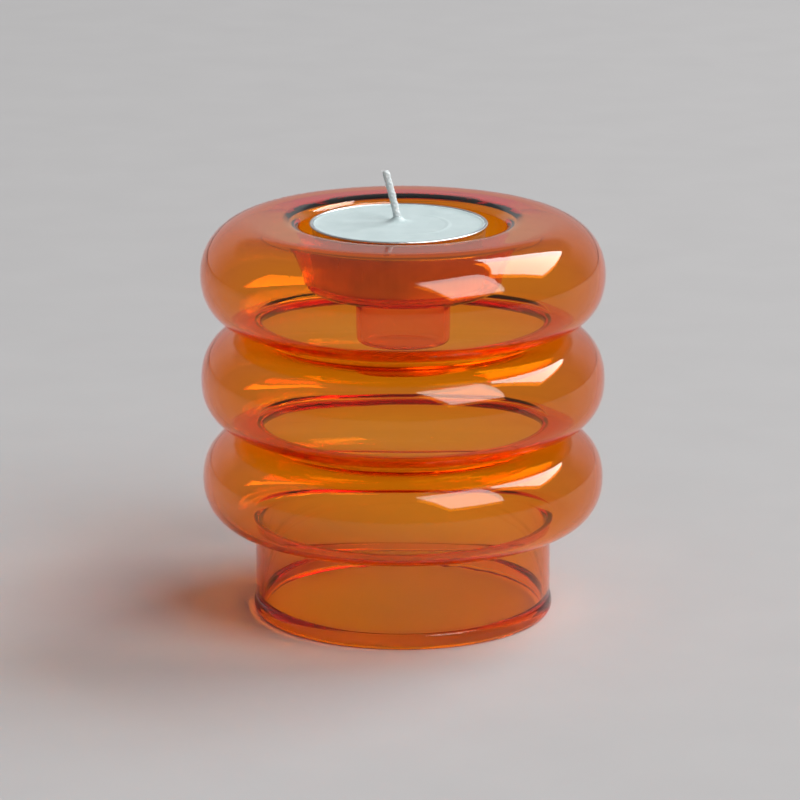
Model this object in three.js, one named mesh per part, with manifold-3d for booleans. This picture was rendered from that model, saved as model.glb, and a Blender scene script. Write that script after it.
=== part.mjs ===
// Three-ring amber glass tealight holder with a tealight standing in it.
// Millimetres, +Z up, origin on the table under the middle of the foot.
import * as THREE from 'three';
import { mergeVertices } from 'three/addons/utils/BufferGeometryUtils.js';
import Module from 'manifold-3d';

const wasm = await Module();
wasm.setup();

// ---- driving dimensions --------------------------------------------------

const GLASS_TURNS = 48;        // facets round the glass parts
const TIN_TURNS = 48;          // facets round the tealight
const GAP = 0.3;               // clearance between neighbouring pieces

// outer body
const WALL = 1.5;              // glass thickness
const FOOT_R = 31.9;           // outside radius of the plain foot
const BEAD_R = 32.35;          // outside radius of the fire-polished bead
const BEAD_IN_R = 29.9;        // inside radius of the bead
const BEAD_MID_Z = 1.3;        // height where the bead is thickest
const BEAD_TOP_Z = 3.2;        // height where the bead runs out into the wall
const LAND_R = [30.4, 31.3];   // narrow flat land the foot stands on
const RING_R = [43.15, 43.3, 43.3];   // outside radius of the rings, bottom to top
const RING_Z = [29.2, 51.1, 74.4];    // height of each ring's widest line
const RING_REACH = 11.2;       // how far a ring stands out from the neck beside it
const RING_POWER = 2.24;       // fullness of the ring section, 2 being an ellipse
const CREASE = 0.8;            // open width of the crease between two rings
const UNDER_Z = 19.9;          // underside of the bottom ring
const UNDER_REACH = 7.7;       // sideways rounding of the bottom ring's underside
const FOOT_FILLET = 1.0;       // fillet where the foot meets the bottom ring
const CROWN_R = 31.8;          // radius where the crown turns level
const CROWN_Z = 85.95;         // top of the crown

// inner cup
const SEAM_R = 25.4;           // radius of the fused seam on the crown
const MOUTH_R = 22.0;          // inside radius of the mouth
const LIP_ROUND = 2.0;         // rounding of the mouth's edge
const CUP_WALL = 1.4;
const SEAT_Z = 72.1;           // floor the tealight rests on
const SEAT_CORNER_R = 17.4;    // centre of the rounding between wall and floor
const SEAT_CORNER = 2.4;       // inside rounding between wall and floor
const SOCKET_IN_R = 9.0;       // narrow blind socket under the floor
const SOCKET_WALL = 1.1;
const SOCKET_FLOOR_Z = 57.7;
const SOCKET_CORNER = 2.4;     // inside rounding at the socket's floor
const SOCKET_LIP = 1.0;        // rounding where the floor turns down into the socket

// tealight, standing a little off the holder's axis
const TEALIGHT_X = -0.9;
const TIN_BASE_Z = SEAT_Z + GAP;
const TIN_TOP_Z = 85.15;
const TIN_BASE_R = 17.9;
const TIN_MOUTH_R = 18.5;
const TIN_RIM_R = 19.0;        // radius over the turned-out rim
const TIN_RIM_H = 0.7;
const TIN_WALL = 0.35;
const TIN_CORNER = 0.8;
const WAX_TOP_Z = 84.7;
const CONE_R = 3.2;            // wax drawn up round the wick
const CONE_H = 1.1;

// wick, from the tealight's middle
const WICK_X = -0.2;
const WICK_Y = 2.7;
const WICK_R = 0.95;
const WICK_TOP_Z = 95.6;
const WICK_LEAN = 2.6;         // sideways travel of the tip
const SUSTAINER_R = 6.5;
const SUSTAINER_T = 0.3;
const CRIMP_R = 1.6;           // crimped neck that grips the wick
const CRIMP_H = 3.2;

// ---- helpers -------------------------------------------------------------

const group = new THREE.Group();

function add(name, geometry, look) {
  const mesh = new THREE.Mesh(geometry, new THREE.MeshStandardMaterial(look));
  mesh.name = name;
  group.add(mesh);
}

// Points [radius, height] on a quarter of a superellipse, angles in degrees.
function bulge(r, z, reach, rise, power, from, to, steps) {
  const points = [];
  for (let i = 0; i <= steps; i += 1) {
    const a = THREE.MathUtils.degToRad(from + ((to - from) * i) / steps);
    const c = Math.sign(Math.cos(a)) * Math.abs(Math.cos(a)) ** (2 / power);
    const s = Math.sign(Math.sin(a)) * Math.abs(Math.sin(a)) ** (2 / power);
    points.push([r + reach * c, z + rise * s]);
  }
  return points;
}

function arc(r, z, radius, from, to, steps) {
  return bulge(r, z, radius, radius, 2, from, to, steps);
}

// Solid of revolution about Z from a profile of [radius, height] points.
function turned(points, turns) {
  const profile = points.map(([r, z]) => new THREE.Vector2(Math.abs(r), z));
  return new THREE.LatheGeometry(profile, turns).rotateX(Math.PI / 2);
}

function toSolid(geometry) {
  const bare = geometry.clone();
  bare.deleteAttribute('normal');
  bare.deleteAttribute('uv');
  const merged = mergeVertices(bare, 1e-4);
  return new wasm.Manifold(new wasm.Mesh({
    numProp: 3,
    vertProperties: new Float32Array(merged.attributes.position.array),
    triVerts: new Uint32Array(merged.index.array),
  }));
}

function toGeometry(solid) {
  const mesh = solid.getMesh();
  const geometry = new THREE.BufferGeometry();
  geometry.setAttribute('position', new THREE.BufferAttribute(mesh.vertProperties, 3));
  geometry.setIndex(new THREE.BufferAttribute(mesh.triVerts, 1));
  geometry.computeVertexNormals();
  return geometry;
}

// ---- outer body ----------------------------------------------------------

// Rise of each half of each ring section, [below, above], bottom ring first.
function ringRises() {
  const necks = neckHeights();
  return [
    [RING_Z[0] - UNDER_Z, necks[0] - CREASE / 2 - RING_Z[0]],
    [RING_Z[1] - necks[0] - CREASE / 2, necks[1] - CREASE / 2 - RING_Z[1]],
    [RING_Z[2] - necks[1] - CREASE / 2, CROWN_Z - RING_Z[2]],
  ];
}

function neckHeights() {
  return [(RING_Z[0] + RING_Z[1]) / 2, (RING_Z[1] + RING_Z[2]) / 2];
}

// One half of one ring's section, `inset` millimetres inside the outer skin.
function ringHalf(ring, above, inset, steps) {
  const rise = ringRises()[ring][above ? 1 : 0] - inset;
  let reach = RING_REACH;
  let power = RING_POWER;
  if (ring === 0 && !above) {
    reach = UNDER_REACH;
    power = 2;
  }
  if (ring === 2 && above) {
    reach = RING_R[2] - CROWN_R;
    power = 2;
  }
  const centre = RING_R[ring] - reach;
  const [from, to] = above ? [0, 90] : [-90, 0];
  return bulge(centre, RING_Z[ring], reach - inset, rise, power, from, to, steps);
}

// The crease between ring `below` and the ring over it, seen from outside.
function crease(below, inset, steps) {
  const radius = CREASE / 2 + inset;
  const r = RING_R[below] - RING_REACH;
  return arc(r, neckHeights()[below], radius, 270, 90, steps).slice(1, -1);
}

function outerBody() {
  const filletR = FOOT_R + FOOT_FILLET;
  const filletZ = UNDER_Z - FOOT_FILLET;
  const outside = [
    ...bulge(LAND_R[1], BEAD_MID_Z, BEAD_R - LAND_R[1], BEAD_MID_Z, 2, -90, 0, 2),
    ...bulge(FOOT_R, BEAD_MID_Z, BEAD_R - FOOT_R, BEAD_TOP_Z - BEAD_MID_Z, 1.4, 0, 90, 2).slice(1),
    ...arc(filletR, filletZ, FOOT_FILLET, 180, 90, 2),
    ...ringHalf(0, false, 0, 4),
    ...ringHalf(0, true, 0, 4).slice(1),
    ...crease(0, 0, 3),
    ...ringHalf(1, false, 0, 4),
    ...ringHalf(1, true, 0, 4).slice(1),
    ...crease(1, 0, 3),
    ...ringHalf(2, false, 0, 4),
    ...ringHalf(2, true, 0, 5).slice(1),
    [SEAM_R + GAP, CROWN_Z],
  ];
  const inside = [
    ...bulge(LAND_R[0], BEAD_MID_Z, LAND_R[0] - BEAD_IN_R, BEAD_MID_Z, 2, 270, 180, 2),
    ...bulge(FOOT_R - WALL, BEAD_MID_Z, FOOT_R - WALL - BEAD_IN_R, BEAD_TOP_Z - BEAD_MID_Z, 1.4, 180, 90, 2)
      .slice(1),
    ...arc(filletR, filletZ, FOOT_FILLET + WALL, 180, 90, 3),
    ...ringHalf(0, false, WALL, 3),
    ...ringHalf(0, true, WALL, 3).slice(1),
    ...crease(0, WALL, 3),
    ...ringHalf(1, false, WALL, 3),
    ...ringHalf(1, true, WALL, 3).slice(1),
    ...crease(1, WALL, 3),
    ...ringHalf(2, false, WALL, 3),
    ...ringHalf(2, true, WALL, 4).slice(1),
    [SEAM_R + GAP, CROWN_Z - WALL],
  ];
  return turned([...outside, ...inside.reverse(), outside[0]], GLASS_TURNS);
}

// ---- inner cup -----------------------------------------------------------

function innerCup() {
  const cornerZ = SEAT_Z + SEAT_CORNER;
  const underZ = SEAT_Z - CUP_WALL;
  const socketR = SOCKET_IN_R + SOCKET_WALL;
  const socketCornerR = SOCKET_IN_R - SOCKET_CORNER;
  const socketCornerZ = SOCKET_FLOOR_Z + SOCKET_CORNER;
  const lipR = SOCKET_IN_R + SOCKET_LIP;
  const neckR = socketR + SOCKET_LIP;
  const under = [
    [0, SOCKET_FLOOR_Z - SOCKET_WALL],
    ...arc(socketCornerR, socketCornerZ, SOCKET_CORNER + SOCKET_WALL, -90, 0, 4),
    ...arc(neckR, underZ - SOCKET_LIP, SOCKET_LIP, 180, 90, 3),
    ...arc(SEAT_CORNER_R, cornerZ, SEAT_CORNER + CUP_WALL, -90, 0, 4),
    [MOUTH_R + CUP_WALL, CROWN_Z - WALL],
    [SEAM_R, CROWN_Z - WALL],
  ];
  const over = [
    [0, SOCKET_FLOOR_Z],
    ...arc(socketCornerR, socketCornerZ, SOCKET_CORNER, -90, 0, 3),
    ...arc(lipR, SEAT_Z - SOCKET_LIP, SOCKET_LIP, 180, 90, 3),
    ...arc(SEAT_CORNER_R, cornerZ, SEAT_CORNER, -90, 0, 3),
    ...arc(MOUTH_R + LIP_ROUND, CROWN_Z - LIP_ROUND, LIP_ROUND, 180, 90, 5),
    [SEAM_R, CROWN_Z],
  ];
  return turned([...under, ...over.reverse()], GLASS_TURNS);
}

// ---- tealight ------------------------------------------------------------

// Radius of the tin's outside wall at a height.
function tinRadius(z) {
  const t = (z - TIN_BASE_Z) / (TIN_TOP_Z - TIN_BASE_Z);
  return TIN_BASE_R + (TIN_MOUTH_R - TIN_BASE_R) * t;
}

function tealightCup() {
  const rimZ = TIN_TOP_Z - TIN_RIM_H;
  const cornerR = TIN_BASE_R - TIN_CORNER;
  const cornerZ = TIN_BASE_Z + TIN_CORNER;
  const outside = [
    [0, TIN_BASE_Z],
    ...arc(cornerR, cornerZ, TIN_CORNER, -90, 0, 3),
    [tinRadius(rimZ), rimZ],
    [TIN_RIM_R, TIN_TOP_Z - TIN_WALL],
    [TIN_RIM_R, TIN_TOP_Z],
    [tinRadius(TIN_TOP_Z), TIN_TOP_Z],
  ];
  const inside = [
    [0, TIN_BASE_Z + TIN_WALL],
    ...arc(cornerR, cornerZ, TIN_CORNER - TIN_WALL, -90, 0, 3),
    [tinRadius(rimZ) - TIN_WALL, rimZ],
  ];
  return turned([...outside, ...inside.reverse()], TIN_TURNS).translate(TEALIGHT_X, 0, 0);
}

function waxCake() {
  const wall = TIN_WALL + GAP;
  const floor = TIN_BASE_Z + wall;
  const wickX = TEALIGHT_X + WICK_X;
  const cake = turned([
    [0, floor],
    [tinRadius(floor) - wall - TIN_CORNER, floor],
    [tinRadius(floor) - wall, floor + TIN_CORNER],
    [tinRadius(WAX_TOP_Z) - wall, WAX_TOP_Z - 0.2],
    [tinRadius(WAX_TOP_Z) - wall - 0.4, WAX_TOP_Z],
    [0, WAX_TOP_Z],
  ], TIN_TURNS).translate(TEALIGHT_X, 0, 0);
  const cone = turned([
    [0, WAX_TOP_Z - 1],
    [CONE_R, WAX_TOP_Z - 1],
    [CONE_R, WAX_TOP_Z],
    [CONE_R * 0.62, WAX_TOP_Z + CONE_H * 0.3],
    [CONE_R * 0.45, WAX_TOP_Z + CONE_H],
    [0, WAX_TOP_Z + CONE_H],
  ], 24).translate(wickX, WICK_Y, 0);
  const hollow = turned([
    [0, floor - 1],
    [SUSTAINER_R + GAP, floor - 1],
    [SUSTAINER_R + GAP, floor + SUSTAINER_T + GAP],
    [CRIMP_R + GAP, floor + SUSTAINER_T + GAP],
    [CRIMP_R + GAP, floor + CRIMP_H + GAP],
    [WICK_R + GAP, floor + CRIMP_H + GAP],
    [WICK_R + GAP, WAX_TOP_Z + CONE_H + 1],
    [0, WAX_TOP_Z + CONE_H + 1],
  ], 24).translate(wickX, WICK_Y, 0);
  return toGeometry(toSolid(cake).add(toSolid(cone)).subtract(toSolid(hollow)));
}

function wickSustainer() {
  const floor = TIN_BASE_Z + TIN_WALL + GAP;
  const bore = WICK_R + GAP;
  const profile = [
    [bore, floor],
    [SUSTAINER_R, floor],
    [SUSTAINER_R, floor + SUSTAINER_T],
    [CRIMP_R, floor + SUSTAINER_T],
    [CRIMP_R, floor + CRIMP_H],
    [bore, floor + CRIMP_H],
    [bore, floor],
  ];
  return turned(profile, 24).translate(TEALIGHT_X + WICK_X, WICK_Y, 0);
}

function wick() {
  const base = TIN_BASE_Z + TIN_WALL + GAP;
  const bend = WAX_TOP_Z + CONE_H + 0.3;
  const rise = WICK_TOP_Z - bend;
  const path = new THREE.CatmullRomCurve3([
    new THREE.Vector3(0, 0, base),
    new THREE.Vector3(0, 0, (base + bend) / 2),
    new THREE.Vector3(0, 0, bend),
    new THREE.Vector3(-WICK_LEAN * 0.45, 0, bend + rise * 0.5),
    new THREE.Vector3(-WICK_LEAN, 0, WICK_TOP_Z),
  ]);
  const section = new THREE.Shape().absarc(0, 0, WICK_R, 0, Math.PI * 2);
  return new THREE.ExtrudeGeometry(section, {
    steps: 16,
    curveSegments: 10,
    bevelEnabled: false,
    extrudePath: path,
  }).translate(TEALIGHT_X + WICK_X, WICK_Y, 0);
}

// ---- assembly ------------------------------------------------------------

const AMBER = { color: 0xd9650f, roughness: 0.04, metalness: 0 };

add('outer_body', outerBody(), { ...AMBER, transparent: true, opacity: 0.45 });
add('inner_cup', innerCup(), { ...AMBER, transparent: true, opacity: 0.45 });
add('tealight_cup', tealightCup(), { color: 0xc9ccd0, roughness: 0.3, metalness: 1 });
add('wax', waxCake(), { color: 0xe6eeec, roughness: 0.5, metalness: 0 });
add('wick_sustainer', wickSustainer(), { color: 0xb8bbbd, roughness: 0.35, metalness: 1 });
add('wick', wick(), { color: 0xeeeee8, roughness: 0.85, metalness: 0 });

export default group;
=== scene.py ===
"""Looks of the three-ring amber glass tealight holder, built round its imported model.

Profiles are in millimetres, as (radius, height); finished meshes, lights and camera are in metres.
"""

import math

import bmesh
import bpy
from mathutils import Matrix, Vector, noise


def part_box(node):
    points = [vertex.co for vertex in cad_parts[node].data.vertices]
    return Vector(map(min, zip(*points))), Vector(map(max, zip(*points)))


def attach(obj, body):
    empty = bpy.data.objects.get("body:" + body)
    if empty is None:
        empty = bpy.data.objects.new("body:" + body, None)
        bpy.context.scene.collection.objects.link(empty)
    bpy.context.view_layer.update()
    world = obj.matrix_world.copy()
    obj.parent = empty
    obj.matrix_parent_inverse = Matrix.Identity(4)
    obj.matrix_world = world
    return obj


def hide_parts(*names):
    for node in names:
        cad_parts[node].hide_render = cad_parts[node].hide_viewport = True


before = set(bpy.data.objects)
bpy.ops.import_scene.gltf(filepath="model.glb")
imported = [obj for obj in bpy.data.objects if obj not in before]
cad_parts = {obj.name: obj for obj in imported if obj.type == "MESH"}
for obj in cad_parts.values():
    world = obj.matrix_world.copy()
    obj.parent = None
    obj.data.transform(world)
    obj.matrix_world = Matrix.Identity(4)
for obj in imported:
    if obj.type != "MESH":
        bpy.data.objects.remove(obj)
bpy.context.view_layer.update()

MM = 0.001

# ---- sizes of the glass, in millimetres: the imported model's, but for a wider lip, a sharper
# ---- socket corner, the seam's fillet, the sag and the ripple

WALL = 1.5
FOOT_R = 31.9
BEAD_R = 32.35
BEAD_IN_R = 29.9
BEAD_MID_Z = 1.3
BEAD_TOP_Z = 3.2
LAND_R = (30.4, 31.3)
RING_R = (43.15, 43.3, 43.3)
RING_Z = (29.2, 51.1, 74.4)
RING_REACH = 11.2
RING_POWER = 2.24
CREASE = 0.8
UNDER_Z = 19.9
UNDER_REACH = 7.7
FOOT_FILLET = 1.0
CROWN_R = 31.8
CROWN_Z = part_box("outer_body")[1].z / MM
MOUTH_R = 22.0
LIP_DROP = 2.0                 # rounding of the mouth's edge, down and outwards
LIP_REACH = 4.2
CUP_WALL = 1.4
SEAT_Z = 72.1
SEAT_CORNER_R = 17.4
SEAT_CORNER = 2.4
SOCKET_IN_R = 9.0
SOCKET_WALL = 1.1
SOCKET_FLOOR_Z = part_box("inner_cup")[0].z / MM + SOCKET_WALL
SOCKET_CORNER = 1.6            # inside rounding at the socket's floor
SOCKET_LIP = 1.0
SEAM_FILLET = 1.2              # glass gathered under the fused seam, beside the cup
SAG = 0.2                      # by how much shoulders are thicker, and undersides thinner, than WALL
OUTER_RIPPLE = 0.015           # depth of the slow ripple in each skin
INNER_RIPPLE = 0.07
RIPPLE_SIZE = 14.0             # breadth of its waves
GLASS_TURNS = 200
GLASS_STEP = 1.2               # longest stretch between two points of its profile

# ---- sizes of the tealight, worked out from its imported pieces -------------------

TIN_LOW, TIN_HIGH = (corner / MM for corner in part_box("tealight_cup"))
WICK_LOW, WICK_HIGH = (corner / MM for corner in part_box("wick"))
DISC_LOW, DISC_HIGH = (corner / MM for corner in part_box("wick_sustainer"))
TIN_X = (TIN_LOW.x + TIN_HIGH.x) / 2
TIN_BASE_Z = TIN_LOW.z
TIN_TOP_Z = TIN_HIGH.z
TIN_RIM_R = (TIN_HIGH.x - TIN_LOW.x) / 2
RIM_PAST_BASE = 1.1            # how far the rim stands out past the base, and past the mouth
RIM_PAST_MOUTH = 0.5
TIN_BASE_R = TIN_RIM_R - RIM_PAST_BASE
TIN_MOUTH_R = TIN_RIM_R - RIM_PAST_MOUTH
TIN_CORNER = 0.8
FOIL = 0.22                    # thickness of the pressed foil
RIM_ROLL = 0.26                # radius of the rolled rim
BASE_STEP_R = 11.0             # raised middle of the base: its radius, height and sloping edge
BASE_STEP_H = 0.25
BASE_STEP_EDGE = 0.6
FLUTES = 60                    # draw marks round the wall
FLUTE_DEPTH = 0.02
FLUTE_FADE = 3.0               # height over which they come in above the base
WAX_BELOW_RIM = 0.42
WAX_TOP_Z = TIN_TOP_Z - WAX_BELOW_RIM
WICK_R = (WICK_HIGH.y - WICK_LOW.y) / 2
WICK_Y = (WICK_LOW.y + WICK_HIGH.y) / 2
WICK_X = (DISC_LOW.x + DISC_HIGH.x) / 2
FRAY_H = 0.15                  # room for the loose fibres above the braid
WICK_TOP_Z = WICK_HIGH.z - FRAY_H
WICK_LEAN = 2.6                # sideways travel of the tip
CONE_H = 1.1                   # wax drawn up round the wick
CONE_TOP_Z = WAX_TOP_Z + CONE_H
CONE_REACH = 0.75
MENISCUS_H = 0.30              # wax drawn up the tin's wall
MENISCUS_REACH = 0.45
TIDE_R = 10.6                  # faint ridge left on the right as the wax set
TIDE_H = 0.09
TIDE_WIDTH = 0.45
TIDE_TURN = 0.35
SWELL_H = 0.05                 # slow unevenness of the wax
SWELL_SIZE = 5.0
WICK_FILL = 0.86               # braid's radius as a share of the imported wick's
PLAIT_PITCH = 2.1              # height of one plait

# ---- camera and stage: lens in millimetres, elevation in degrees, the rest in metres --

LENS = 191.86
CAMERA_DISTANCE = 0.91688
CAMERA_ELEVATION = 15.13
CAMERA_SHIFT = -0.0037
AIM_HEIGHT = 0.046
WINDOW_DISTANCE = 4.0
WINDOW_AIM = Vector((0.0, 0.0, 0.05))
FLOOR_SIDE = 9.0

# ---- light: strength of the room and its backdrop, and the floor's two tones --

ROOM_LIGHT = 0.24
BACKDROP_LIGHT = 0.5
FLOOR_DARK = (0.345, 0.343, 0.345)
FLOOR_PALE = (0.355, 0.353, 0.355)


# ---- material helpers --------------------------------------------------------------

def new_material(name):
    mat = bpy.data.materials.new(name)
    mat.use_nodes = True
    return mat, mat.node_tree.nodes, mat.node_tree.links, mat.node_tree.nodes["Principled BSDF"]


def object_noise(nodes, links, scale, detail, stretch=(1.0, 1.0, 1.0)):
    """Noise fixed to the object, as a value from 0 to 1; stretch sets its scale along each axis."""
    where = nodes.new("ShaderNodeTexCoord")
    mapping = nodes.new("ShaderNodeMapping")
    mapping.inputs["Scale"].default_value = stretch
    links.new(where.outputs["Object"], mapping.inputs["Vector"])
    texture = nodes.new("ShaderNodeTexNoise")
    texture.inputs["Scale"].default_value = scale
    texture.inputs["Detail"].default_value = detail
    links.new(mapping.outputs[0], texture.inputs["Vector"])
    return texture.outputs["Fac"]


def colour_ramp(nodes, links, value, low, high, start=0.3, end=0.7):
    ramp = nodes.new("ShaderNodeValToRGB")
    ramp.color_ramp.elements[0].position = start
    ramp.color_ramp.elements[0].color = (*low, 1.0)
    ramp.color_ramp.elements[1].position = end
    ramp.color_ramp.elements[1].color = (*high, 1.0)
    links.new(value, ramp.inputs["Fac"])
    return ramp.outputs["Color"]


def add_range(nodes, links, value, low, high, socket):
    span = nodes.new("ShaderNodeMapRange")
    span.inputs["To Min"].default_value = low
    span.inputs["To Max"].default_value = high
    links.new(value, span.inputs["Value"])
    links.new(span.outputs["Result"], socket)


def add_bump(nodes, links, bsdf, height, strength, distance):
    bump = nodes.new("ShaderNodeBump")
    bump.inputs["Strength"].default_value = strength
    bump.inputs["Distance"].default_value = distance
    links.new(height, bump.inputs["Height"])
    links.new(bump.outputs["Normal"], bsdf.inputs["Normal"])


# ---- camera, floor and light ----------------------------------------------------

def direction(azimuth, elevation):
    """Unit vector: azimuth 0 is the front (-Y), 90 is the right (+X)."""
    a = math.radians(azimuth)
    e = math.radians(elevation)
    return Vector((math.sin(a) * math.cos(e), -math.cos(a) * math.cos(e), math.sin(e)))


def look_at(obj, target):
    obj.rotation_euler = (target - obj.location).to_track_quat("-Z", "Y").to_euler()


def link(name, data):
    obj = bpy.data.objects.new(name, data)
    bpy.context.scene.collection.objects.link(obj)
    return obj


def make_camera():
    data = bpy.data.cameras.new("camera")
    data.lens = LENS
    data.sensor_width = 36.0
    data.shift_x = CAMERA_SHIFT
    data.clip_start = 0.01
    data.clip_end = 50.0
    camera = link("camera", data)
    aim = Vector((0.0, 0.0, AIM_HEIGHT))
    camera.location = aim + CAMERA_DISTANCE * direction(0.0, CAMERA_ELEVATION)
    look_at(camera, aim)
    bpy.context.scene.camera = camera


def make_window(name, azimuth, elevation, wide, tall, strength, colour):
    """A bright pane that faces the holder, its angular size in degrees."""
    half_w = WINDOW_DISTANCE * math.tan(math.radians(wide / 2))
    half_h = WINDOW_DISTANCE * math.tan(math.radians(tall / 2))
    corners = [(-half_w, -half_h, 0), (half_w, -half_h, 0), (half_w, half_h, 0), (-half_w, half_h, 0)]
    mesh = bpy.data.meshes.new(name)
    mesh.from_pydata(corners, [], [(0, 1, 2, 3)])
    pane = link(name, mesh)
    pane.location = WINDOW_DISTANCE * direction(azimuth, elevation)
    look_at(pane, WINDOW_AIM)
    mat = bpy.data.materials.new(name)
    mat.use_nodes = True
    nodes = mat.node_tree.nodes
    nodes.clear()
    glow = nodes.new("ShaderNodeEmission")
    glow.inputs["Color"].default_value = (*colour, 1.0)
    glow.inputs["Strength"].default_value = strength
    out = nodes.new("ShaderNodeOutputMaterial")
    mat.node_tree.links.new(glow.outputs[0], out.inputs["Surface"])
    mesh.materials.append(mat)
    pane.visible_camera = False


def make_world():
    """A dim room, with a low pale backdrop behind the holder that shows in its glancing reflections."""
    world = bpy.data.worlds.new("studio")
    world.use_nodes = True
    nodes = world.node_tree.nodes
    links = world.node_tree.links
    room = nodes["Background"]
    room.inputs["Color"].default_value = (0.97, 0.98, 1.0, 1.0)
    room.inputs["Strength"].default_value = ROOM_LIGHT
    backdrop = nodes.new("ShaderNodeBackground")
    backdrop.inputs["Color"].default_value = (1.0, 0.99, 0.99, 1.0)
    backdrop.inputs["Strength"].default_value = BACKDROP_LIGHT
    where = nodes.new("ShaderNodeTexCoord")
    split = nodes.new("ShaderNodeSeparateXYZ")
    links.new(where.outputs["Generated"], split.inputs[0])
    behind = world_edge(nodes, links, split.outputs["Y"], 0.55, 0.80)
    low = world_edge(nodes, links, split.outputs["Z"], 0.46, 0.40)
    both = nodes.new("ShaderNodeMath")
    both.operation = "MULTIPLY"
    links.new(behind, both.inputs[0])
    links.new(low, both.inputs[1])
    mix = nodes.new("ShaderNodeMixShader")
    links.new(both.outputs[0], mix.inputs[0])
    links.new(room.outputs[0], mix.inputs[1])
    links.new(backdrop.outputs[0], mix.inputs[2])
    links.new(mix.outputs[0], nodes["World Output"].inputs["Surface"])
    bpy.context.scene.world = world


def world_edge(nodes, links, value, start, end):
    """Soft step from 0 to 1 between two values of a direction's component."""
    edge = nodes.new("ShaderNodeMapRange")
    edge.inputs["From Min"].default_value = start
    edge.inputs["From Max"].default_value = end
    links.new(value, edge.inputs["Value"])
    return edge.outputs["Result"]


def make_floor():
    """Pale matt paper with a very faint mottle."""
    mesh = bpy.data.meshes.new("floor")
    side = FLOOR_SIDE
    corners = [(-side, -side, 0), (side, -side, 0), (side, side, 0), (-side, side, 0)]
    mesh.from_pydata(corners, [], [(0, 1, 2, 3)])
    floor = link("floor", mesh)
    mat, nodes, links, bsdf = new_material("floor")
    bsdf.inputs["Roughness"].default_value = 0.8
    bsdf.inputs["Specular IOR Level"].default_value = 0.1
    mottle = object_noise(nodes, links, 40.0, 4.0)
    links.new(colour_ramp(nodes, links, mottle, FLOOR_DARK, FLOOR_PALE), bsdf.inputs["Base Color"])
    mesh.materials.append(mat)


make_camera()
make_floor()
make_world()
make_window("window_front", 46.0, 48.0, 33.0, 38.0, 6.9, (1.0, 0.98, 0.975))
make_window("window_side", 119.5, 48.5, 38.0, 29.0, 9.2, (1.0, 0.99, 0.99))

scene = bpy.context.scene
scene.view_settings.view_transform = "Standard"
scene.cycles.max_bounces = 32
scene.cycles.transmission_bounces = 32
scene.cycles.glossy_bounces = 16
scene.cycles.blur_glossy = 0.0


# ---- profiles and turned meshes ----------------------------------------------------

def bulge(r, z, reach, rise, power, start, end, steps):
    """Points on part of a superellipse, angles in degrees."""
    points = []
    for i in range(steps + 1):
        a = math.radians(start + (end - start) * i / steps)
        c = math.copysign(abs(math.cos(a)) ** (2 / power), math.cos(a))
        s = math.copysign(abs(math.sin(a)) ** (2 / power), math.sin(a))
        points.append((r + reach * c, z + rise * s))
    return points


def arc(r, z, radius, start, end, steps):
    return bulge(r, z, radius, radius, 2, start, end, steps)


def refined(profile, step):
    """The same line with extra points, so that smooth shading stays true along its straight runs."""
    points = [profile[0]]
    for (r0, z0), (r1, z1) in zip(profile, profile[1:]):
        length = math.hypot(r1 - r0, z1 - z0)
        if length < 1e-5:
            continue
        pieces = max(1, math.ceil(length / step))
        for k in range(1, pieces + 1):
            points.append((r0 + (r1 - r0) * k / pieces, z0 + (z1 - z0) * k / pieces))
    return points


def ramp(value, start, end):
    """0 up to start, 1 from end on, straight between them."""
    return max(0.0, min(1.0, (value - start) / (end - start)))


def finish_mesh(name, bm):
    bmesh.ops.recalc_face_normals(bm, faces=bm.faces)
    for face in bm.faces:
        face.smooth = True
    mesh = bpy.data.meshes.new(name)
    bm.to_mesh(mesh)
    bm.free()
    return link(name, mesh)


def skin(bm, rings):
    """Faces between neighbouring rings of vertices; a ring of one vertex closes an end."""
    for low, high in zip(rings, rings[1:]):
        turns = max(len(low), len(high))
        for k in range(turns):
            n = (k + 1) % turns
            corners = [low[k % len(low)], low[n % len(low)], high[n % len(high)], high[k % len(high)]]
            bm.faces.new(list(dict.fromkeys(corners)))


def turned(name, profile, turns, centre=(0.0, 0.0), shape=None):
    """Solid of revolution from a profile that starts and ends on the axis."""
    bm = bmesh.new()
    rings = []
    for i, (r, z) in enumerate(profile):
        if abs(r) < 1e-6:
            rings.append([bm.verts.new((centre[0] * MM, centre[1] * MM, z * MM))])
            continue
        ring = []
        for k in range(turns):
            a = 2 * math.pi * k / turns
            rr, zz = shape(i, r, z, a) if shape else (r, z)
            ring.append(bm.verts.new(((centre[0] + rr * math.cos(a)) * MM,
                                      (centre[1] + rr * math.sin(a)) * MM, zz * MM)))
        rings.append(ring)
    skin(bm, rings)
    return finish_mesh(name, bm)


# ---- materials of the pieces ----------------------------------------------------------

def glass_material():
    """Clear polished glass, coloured amber all through; faint flow marks from blowing."""
    mat, nodes, links, bsdf = new_material("amber_glass")
    bsdf.inputs["Base Color"].default_value = (1.0, 1.0, 1.0, 1.0)
    bsdf.inputs["Transmission Weight"].default_value = 1.0
    bsdf.inputs["Roughness"].default_value = 0.0
    bsdf.inputs["IOR"].default_value = 1.48
    flow = object_noise(nodes, links, 60.0, 2.0, (1.0, 1.0, 2.5))
    add_bump(nodes, links, bsdf, flow, 0.05, 0.0004)
    volume = nodes.new("ShaderNodeVolumeAbsorption")
    volume.inputs["Color"].default_value = (1.0, 0.785, 0.01, 1.0)
    volume.inputs["Density"].default_value = 1750.0
    links.new(volume.outputs[0], nodes["Material Output"].inputs["Volume"])
    return mat


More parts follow.
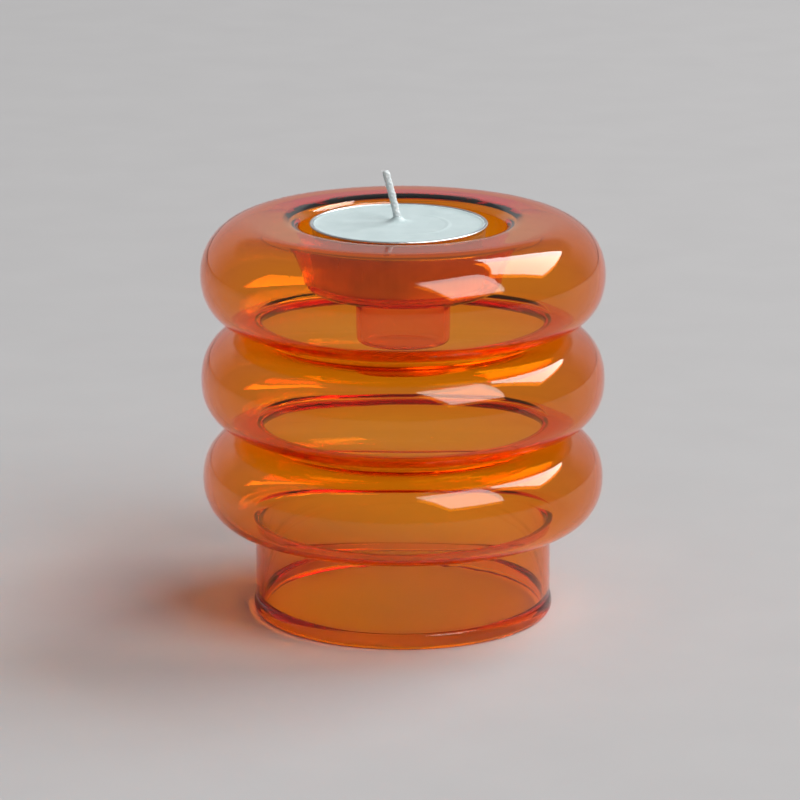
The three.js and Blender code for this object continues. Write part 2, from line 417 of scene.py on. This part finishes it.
def aluminium_material():
    """Pressed foil: satin, with fine upright draw marks."""
    mat, nodes, links, bsdf = new_material("aluminium")
    bsdf.inputs["Metallic"].default_value = 1.0
    marks = object_noise(nodes, links, 900.0, 3.0, (1.0, 1.0, 0.06))
    tone = object_noise(nodes, links, 160.0, 2.0)
    colour = colour_ramp(nodes, links, tone, (0.60, 0.61, 0.63), (0.72, 0.73, 0.74))
    links.new(colour, bsdf.inputs["Base Color"])
    add_range(nodes, links, marks, 0.22, 0.42, bsdf.inputs["Roughness"])
    add_bump(nodes, links, bsdf, marks, 0.25, 0.00005)
    return mat


def wax_material():
    """Paraffin: cool white, slightly see-through, with a soft sheen and a faintly mottled skin."""
    mat, nodes, links, bsdf = new_material("wax")
    mottle = object_noise(nodes, links, 260.0, 4.0)
    grain = object_noise(nodes, links, 1500.0, 3.0)
    colour = colour_ramp(nodes, links, mottle, (0.385, 0.475, 0.48), (0.435, 0.52, 0.525))
    links.new(colour, bsdf.inputs["Base Color"])
    add_range(nodes, links, mottle, 0.36, 0.52, bsdf.inputs["Roughness"])
    bsdf.inputs["Subsurface Weight"].default_value = 0.25
    bsdf.inputs["Subsurface Radius"].default_value = (0.0018, 0.0018, 0.0018)
    bsdf.inputs["Subsurface Scale"].default_value = 1.0
    add_bump(nodes, links, bsdf, grain, 0.12, 0.00006)
    return mat


def tinplate_material():
    """Thin tinned sheet with fine rolling marks."""
    mat, nodes, links, bsdf = new_material("tinplate")
    bsdf.inputs["Metallic"].default_value = 1.0
    marks = object_noise(nodes, links, 700.0, 4.0, (0.15, 1.0, 1.0))
    colour = colour_ramp(nodes, links, marks, (0.60, 0.60, 0.60), (0.74, 0.74, 0.73))
    links.new(colour, bsdf.inputs["Base Color"])
    add_range(nodes, links, marks, 0.25, 0.45, bsdf.inputs["Roughness"])
    return mat


def wick_material():
    """Braided cotton soaked in wax: off-white, matt in the grooves, waxy on the strands."""
    mat, nodes, links, bsdf = new_material("wick_cotton")
    fibre = object_noise(nodes, links, 2600.0, 3.0, (1.0, 1.0, 0.35))
    soak = object_noise(nodes, links, 420.0, 2.0)
    colour = colour_ramp(nodes, links, soak, (0.50, 0.56, 0.57), (0.62, 0.66, 0.66))
    links.new(colour, bsdf.inputs["Base Color"])
    add_range(nodes, links, soak, 0.45, 0.75, bsdf.inputs["Roughness"])
    bsdf.inputs["Subsurface Weight"].default_value = 0.15
    bsdf.inputs["Subsurface Radius"].default_value = (0.0008, 0.0008, 0.0008)
    bsdf.inputs["Subsurface Scale"].default_value = 1.0
    add_bump(nodes, links, bsdf, fibre, 0.35, 0.00008)
    return mat


# ---- glass ------------------------------------------------------------------------------

NECK_Z = ((RING_Z[0] + RING_Z[1]) / 2, (RING_Z[1] + RING_Z[2]) / 2)
RISES = (
    (RING_Z[0] - UNDER_Z, NECK_Z[0] - CREASE / 2 - RING_Z[0]),
    (RING_Z[1] - NECK_Z[0] - CREASE / 2, NECK_Z[1] - CREASE / 2 - RING_Z[1]),
    (RING_Z[2] - NECK_Z[1] - CREASE / 2, CROWN_Z - RING_Z[2]),
)


def ring_half(ring, above, inset, steps):
    """Half of one ring's section, inset from the outer skin, from its widest line outwards."""
    rise = RISES[ring][1 if above else 0] - inset
    reach, power = RING_REACH, RING_POWER
    if ring == 0 and not above:
        reach, power = UNDER_REACH, 2
    if ring == 2 and above:
        reach, power = RING_R[2] - CROWN_R, 2
    centre = RING_R[ring] - reach
    start, end = (0, 90) if above else (-90, 0)
    return bulge(centre, RING_Z[ring], reach - inset, rise, power, start, end, steps)


def crease(below, inset, steps):
    """The crease between two rings, outside or inside the wall."""
    return arc(RING_R[below] - RING_REACH, NECK_Z[below], CREASE / 2 + inset, 270, 90, steps)[1:-1]


def wall_line(inset, fine):
    """The blown wall from the foot up to the crown, inset from the outer skin."""
    return [
        *arc(FOOT_R + FOOT_FILLET, UNDER_Z - FOOT_FILLET, FOOT_FILLET + inset, 180, 90, fine // 3),
        *ring_half(0, False, inset, fine),
        *ring_half(0, True, inset, fine)[1:],
        *crease(0, inset, fine // 2),
        *ring_half(1, False, inset, fine),
        *ring_half(1, True, inset, fine)[1:],
        *crease(1, inset, fine // 2),
        *ring_half(2, False, inset, fine),
        *ring_half(2, True, inset, fine)[1:],
    ]


def cup_lines(fine):
    """Upper side and under side of the inner cup, from the axis out to the crown."""
    over = [
        (0, SOCKET_FLOOR_Z),
        *arc(SOCKET_IN_R - SOCKET_CORNER, SOCKET_FLOOR_Z + SOCKET_CORNER, SOCKET_CORNER, -90, 0, fine),
        *arc(SOCKET_IN_R + SOCKET_LIP, SEAT_Z - SOCKET_LIP, SOCKET_LIP, 180, 90, fine),
        *arc(SEAT_CORNER_R, SEAT_Z + SEAT_CORNER, SEAT_CORNER, -90, 0, fine),
        *bulge(MOUTH_R + LIP_REACH, CROWN_Z - LIP_DROP, LIP_REACH, LIP_DROP, 2, 180, 90, 2 * fine),
    ]
    under_z = SEAT_Z - CUP_WALL
    neck_r = SOCKET_IN_R + SOCKET_WALL + SOCKET_LIP
    wall_r = MOUTH_R + CUP_WALL
    under = [
        (0, SOCKET_FLOOR_Z - SOCKET_WALL),
        *arc(SOCKET_IN_R - SOCKET_CORNER, SOCKET_FLOOR_Z + SOCKET_CORNER,
             SOCKET_CORNER + SOCKET_WALL, -90, 0, fine),
        *arc(neck_r, under_z - SOCKET_LIP, SOCKET_LIP, 180, 90, fine),
        *arc(SEAT_CORNER_R, SEAT_Z + SEAT_CORNER, SEAT_CORNER + CUP_WALL, -90, 0, fine),
        *arc(wall_r + SEAM_FILLET, CROWN_Z - WALL - SEAM_FILLET, SEAM_FILLET, 180, 90, fine),
    ]
    return over, under


def glass_lines():
    """Outer skin from the socket's floor over the lip and down to the foot, and the inner skin back."""
    bead_out = [
        *bulge(LAND_R[1], BEAD_MID_Z, BEAD_R - LAND_R[1], BEAD_MID_Z, 2, -90, 0, 10),
        *bulge(FOOT_R, BEAD_MID_Z, BEAD_R - FOOT_R, BEAD_TOP_Z - BEAD_MID_Z, 1.4, 0, 90, 10)[1:],
    ]
    bead_in = [
        *bulge(LAND_R[0], BEAD_MID_Z, LAND_R[0] - BEAD_IN_R, BEAD_MID_Z, 2, 270, 180, 10),
        *bulge(FOOT_R - WALL, BEAD_MID_Z, FOOT_R - WALL - BEAD_IN_R, BEAD_TOP_Z - BEAD_MID_Z,
               1.4, 180, 90, 10)[1:],
    ]
    over, under = cup_lines(8)
    outside = bead_out + wall_line(0, 18)
    inside = bead_in + wall_line(WALL, 16)
    return refined(over + outside[::-1], GLASS_STEP), refined(inside + under[::-1], GLASS_STEP)


def make_glass():
    outer, inner = glass_lines()

    def hand_blown(i, r, z, a):
        """Slow thickness changes that a blown wall has, mostly on its inner skin, which also sags."""
        inner_skin = i >= len(outer)
        depth = INNER_RIPPLE if inner_skin else OUTER_RIPPLE
        spot = Vector((r * math.cos(a), r * math.sin(a), z)) / RIPPLE_SIZE
        fade = min(1.0, r / 6.0) * min(1.0, z / 4.0)
        sag = SAG * ramp(z, 12.0, 22.0) * ramp(r, 26.0, 32.0) if inner_skin else 0.0
        return r + depth * fade * noise.noise(spot), z - sag

    glass = turned("holder_glass", outer + inner, GLASS_TURNS, shape=hand_blown)
    glass.data.materials.append(glass_material())
    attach(glass, "holder")
    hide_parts("outer_body", "inner_cup")


make_glass()


# ---- tealight ------------------------------------------------------------------------------

def tin_radius(z):
    """Outside radius of the tin's wall at a height."""
    t = (z - TIN_BASE_Z) / (TIN_TOP_Z - TIN_BASE_Z)
    return TIN_BASE_R + (TIN_MOUTH_R - TIN_BASE_R) * t


def make_tin():
    roll_z = TIN_TOP_Z - RIM_ROLL
    roll_r = TIN_RIM_R - RIM_ROLL
    corner_r = TIN_BASE_R - TIN_CORNER
    corner_z = TIN_BASE_Z + TIN_CORNER
    under_roll = roll_z - RIM_ROLL
    outside = [
        (0, TIN_BASE_Z + BASE_STEP_H),
        (BASE_STEP_R, TIN_BASE_Z + BASE_STEP_H),
        (BASE_STEP_R + BASE_STEP_EDGE, TIN_BASE_Z),
        *arc(corner_r, corner_z, TIN_CORNER, -90, 0, 8),
        (tin_radius(under_roll), under_roll - 0.1),
        *arc(roll_r, roll_z, RIM_ROLL, -90, 90, 12),
    ]
    inside = [
        (0, TIN_BASE_Z + BASE_STEP_H + FOIL),
        (BASE_STEP_R, TIN_BASE_Z + BASE_STEP_H + FOIL),
        (BASE_STEP_R + BASE_STEP_EDGE, TIN_BASE_Z + FOIL),
        *arc(corner_r, corner_z, TIN_CORNER - FOIL, -90, 0, 8),
        (tin_radius(roll_z) - FOIL, roll_z),
        (tin_radius(TIN_TOP_Z) - FOIL + 0.12, TIN_TOP_Z - 0.02),
    ]

    def drawn(i, r, z, a):
        """Very shallow flutes left by the press."""
        grip = max(0.0, min(1.0, (z - corner_z) / FLUTE_FADE))
        return r + FLUTE_DEPTH * grip * math.cos(FLUTES * a), z

    tin = turned("tealight_tin", refined(outside + inside[::-1], 0.6), 360, (TIN_X, 0.0), drawn)
    tin.data.materials.append(aluminium_material())
    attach(tin, "tealight")
    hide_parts("tealight_cup")


def wax_height(x, y):
    """Height of the wax surface at a point measured from the tin's middle."""
    wall = tin_radius(WAX_TOP_Z) - FOIL
    to_wall = wall - math.hypot(x, y)
    to_wick = math.hypot(x - (WICK_X - TIN_X), y - WICK_Y)
    meniscus = MENISCUS_H * math.exp(-max(to_wall, 0.0) / MENISCUS_REACH)
    cone = CONE_H * math.exp(-max(to_wick - WICK_R, 0.0) / CONE_REACH)
    angle = math.atan2(y, x)
    arc_part = max(0.0, math.cos((angle + TIDE_TURN) / 2)) ** 6
    tide = TIDE_H * arc_part * math.exp(-((math.hypot(x, y) - TIDE_R) / TIDE_WIDTH) ** 2)
    swell = SWELL_H * noise.noise(Vector((x / SWELL_SIZE, y / SWELL_SIZE, 0.3)))
    return WAX_TOP_Z + meniscus + cone + tide + swell


def make_wax():
    bm = bmesh.new()
    turns = 192
    floor = TIN_BASE_Z + BASE_STEP_H + FOIL + 0.02
    wall = tin_radius(WAX_TOP_Z) - FOIL - 0.01
    steps = 90
    radii = [wall * k / steps for k in range(1, steps + 1)]
    middle = WICK_X - TIN_X

    def point(r, a):
        """Rings close in on the wick at the middle and on the tin's wall outside."""
        shift = 1.0 - r / wall
        return middle * shift + r * math.cos(a), WICK_Y * shift + r * math.sin(a)

    rings = [[bm.verts.new(((TIN_X + middle) * MM, WICK_Y * MM, wax_height(middle, WICK_Y) * MM))]]
    for r in radii:
        ring = []
        for k in range(turns):
            x, y = point(r, 2 * math.pi * k / turns)
            ring.append(bm.verts.new(((TIN_X + x) * MM, y * MM, wax_height(x, y) * MM)))
        rings.append(ring)
    side = [(tin_radius(z) - FOIL - 0.01, z) for z in (WAX_TOP_Z - 1.0, WAX_TOP_Z - 5.0, floor + 1.0)]
    side.append((tin_radius(floor) - FOIL - 0.9, floor))
    for r, z in side:
        rings.append([bm.verts.new(((TIN_X + r * math.cos(2 * math.pi * k / turns)) * MM,
                                    r * math.sin(2 * math.pi * k / turns) * MM, z * MM))
                      for k in range(turns)])
    rings.append([bm.verts.new((TIN_X * MM, 0.0, floor * MM))])
    skin(bm, rings)
    wax = finish_mesh("tealight_wax", bm)
    wax.data.materials.append(wax_material())
    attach(wax, "tealight")
    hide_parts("wax")


def make_sustainer():
    low = DISC_LOW.z
    outer = (DISC_HIGH.x - DISC_LOW.x) / 2
    neck = WICK_R + 0.12
    top = DISC_HIGH.z
    profile = [
        (0, low),
        *arc(outer - 0.12, low + 0.12, 0.12, -90, 90, 6),
        *arc(neck + 0.55 + 0.3, low + 0.24 + 0.3, 0.3, 270, 180, 6),
        (neck + 0.45, top - 0.2),
        *arc(neck + 0.25, top - 0.2, 0.2, 0, 90, 5),
        (neck, top - 0.4),
        (0, top - 0.4),
    ]

    def crimped(i, r, z, a):
        """Four dents that pinch the neck on to the wick."""
        pinch = 0.18 * max(0.0, math.cos(4 * a)) ** 2 if z > low + 1.2 and r > neck else 0.0
        return r - pinch, z

    disc = turned("wick_clip", refined(profile, 0.4), 96, (WICK_X, WICK_Y), crimped)
    disc.data.materials.append(tinplate_material())
    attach(disc, "tealight")
    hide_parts("wick_sustainer")


def wick_line(t):
    """Centre of the wick, from its foot in the clip at 0 to its tip at 1."""
    foot = WICK_LOW.z + 0.3
    z = foot + (WICK_TOP_Z - foot) * t
    bend = max(0.0, (z - CONE_TOP_Z + 0.8) / (WICK_TOP_Z - CONE_TOP_Z + 0.8))
    return Vector((WICK_X - WICK_LEAN * bend ** 1.12, WICK_Y, z))


def tube(bm, centres, radius_at, sides):
    """Closed tube through centres; radius_at(i, angle) gives its section."""
    rings = []
    last = len(centres) - 1
    for i, here in enumerate(centres):
        along = (centres[min(i + 1, last)] - centres[max(i - 1, 0)]).normalized()
        across = along.cross(Vector((0.0, 1.0, 0.0))).normalized()
        side = along.cross(across)
        ring = []
        for k in range(sides):
            a = 2 * math.pi * k / sides
            spot = here + (across * math.cos(a) + side * math.sin(a)) * radius_at(i, a)
            ring.append(bm.verts.new(spot * MM))
        rings.append(ring)
    first = [bm.verts.new(centres[0] * MM)]
    end = [bm.verts.new((centres[-1] + along * 0.08) * MM)]
    skin(bm, [first] + rings + [end])


def make_wick():
    bm = bmesh.new()
    steps = 220
    centres = [wick_line(i / steps) for i in range(steps + 1)]
    braid = 2 * math.pi / PLAIT_PITCH

    def strands(i, a):
        """Plaits that cross both ways round the cord."""
        z = centres[i].z
        left = math.cos(2 * a + braid * z)
        right = math.cos(2 * a - braid * z + 1.0)
        plait = max(left, right) ** 2
        rough = 0.03 * noise.noise(Vector((math.cos(a) * 3, math.sin(a) * 3, z * 1.7)))
        tip = 1.0 - 0.35 * max(0.0, (i - steps + 6) / 6) ** 2
        return WICK_R * WICK_FILL * tip * (0.88 + 0.11 * plait + rough)

    tube(bm, centres, strands, 40)
    tip = centres[-1]
    fibres = ((2.2, 0.5), (3.4, 0.75), (4.6, 0.45), (0.6, 0.4), (5.6, 0.55))
    for lean, reach in fibres:
        out = Vector((math.cos(lean), math.sin(lean), 0.0))
        base = tip + out * (WICK_R * 0.55) - Vector((0.0, 0.0, 0.5))
        line = [base + out * (reach * 0.5 * s * s) + Vector((0.0, 0.0, 0.62 * s))
                for s in (0, 0.35, 0.7, 1.0)]
        tube(bm, line, lambda i, a: 0.085 - 0.015 * i, 6)
    wick = finish_mesh("wick_braid", bm)
    wick.data.materials.append(wick_material())
    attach(wick, "tealight")
    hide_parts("wick")


make_tin()
make_wax()
make_sustainer()
make_wick()
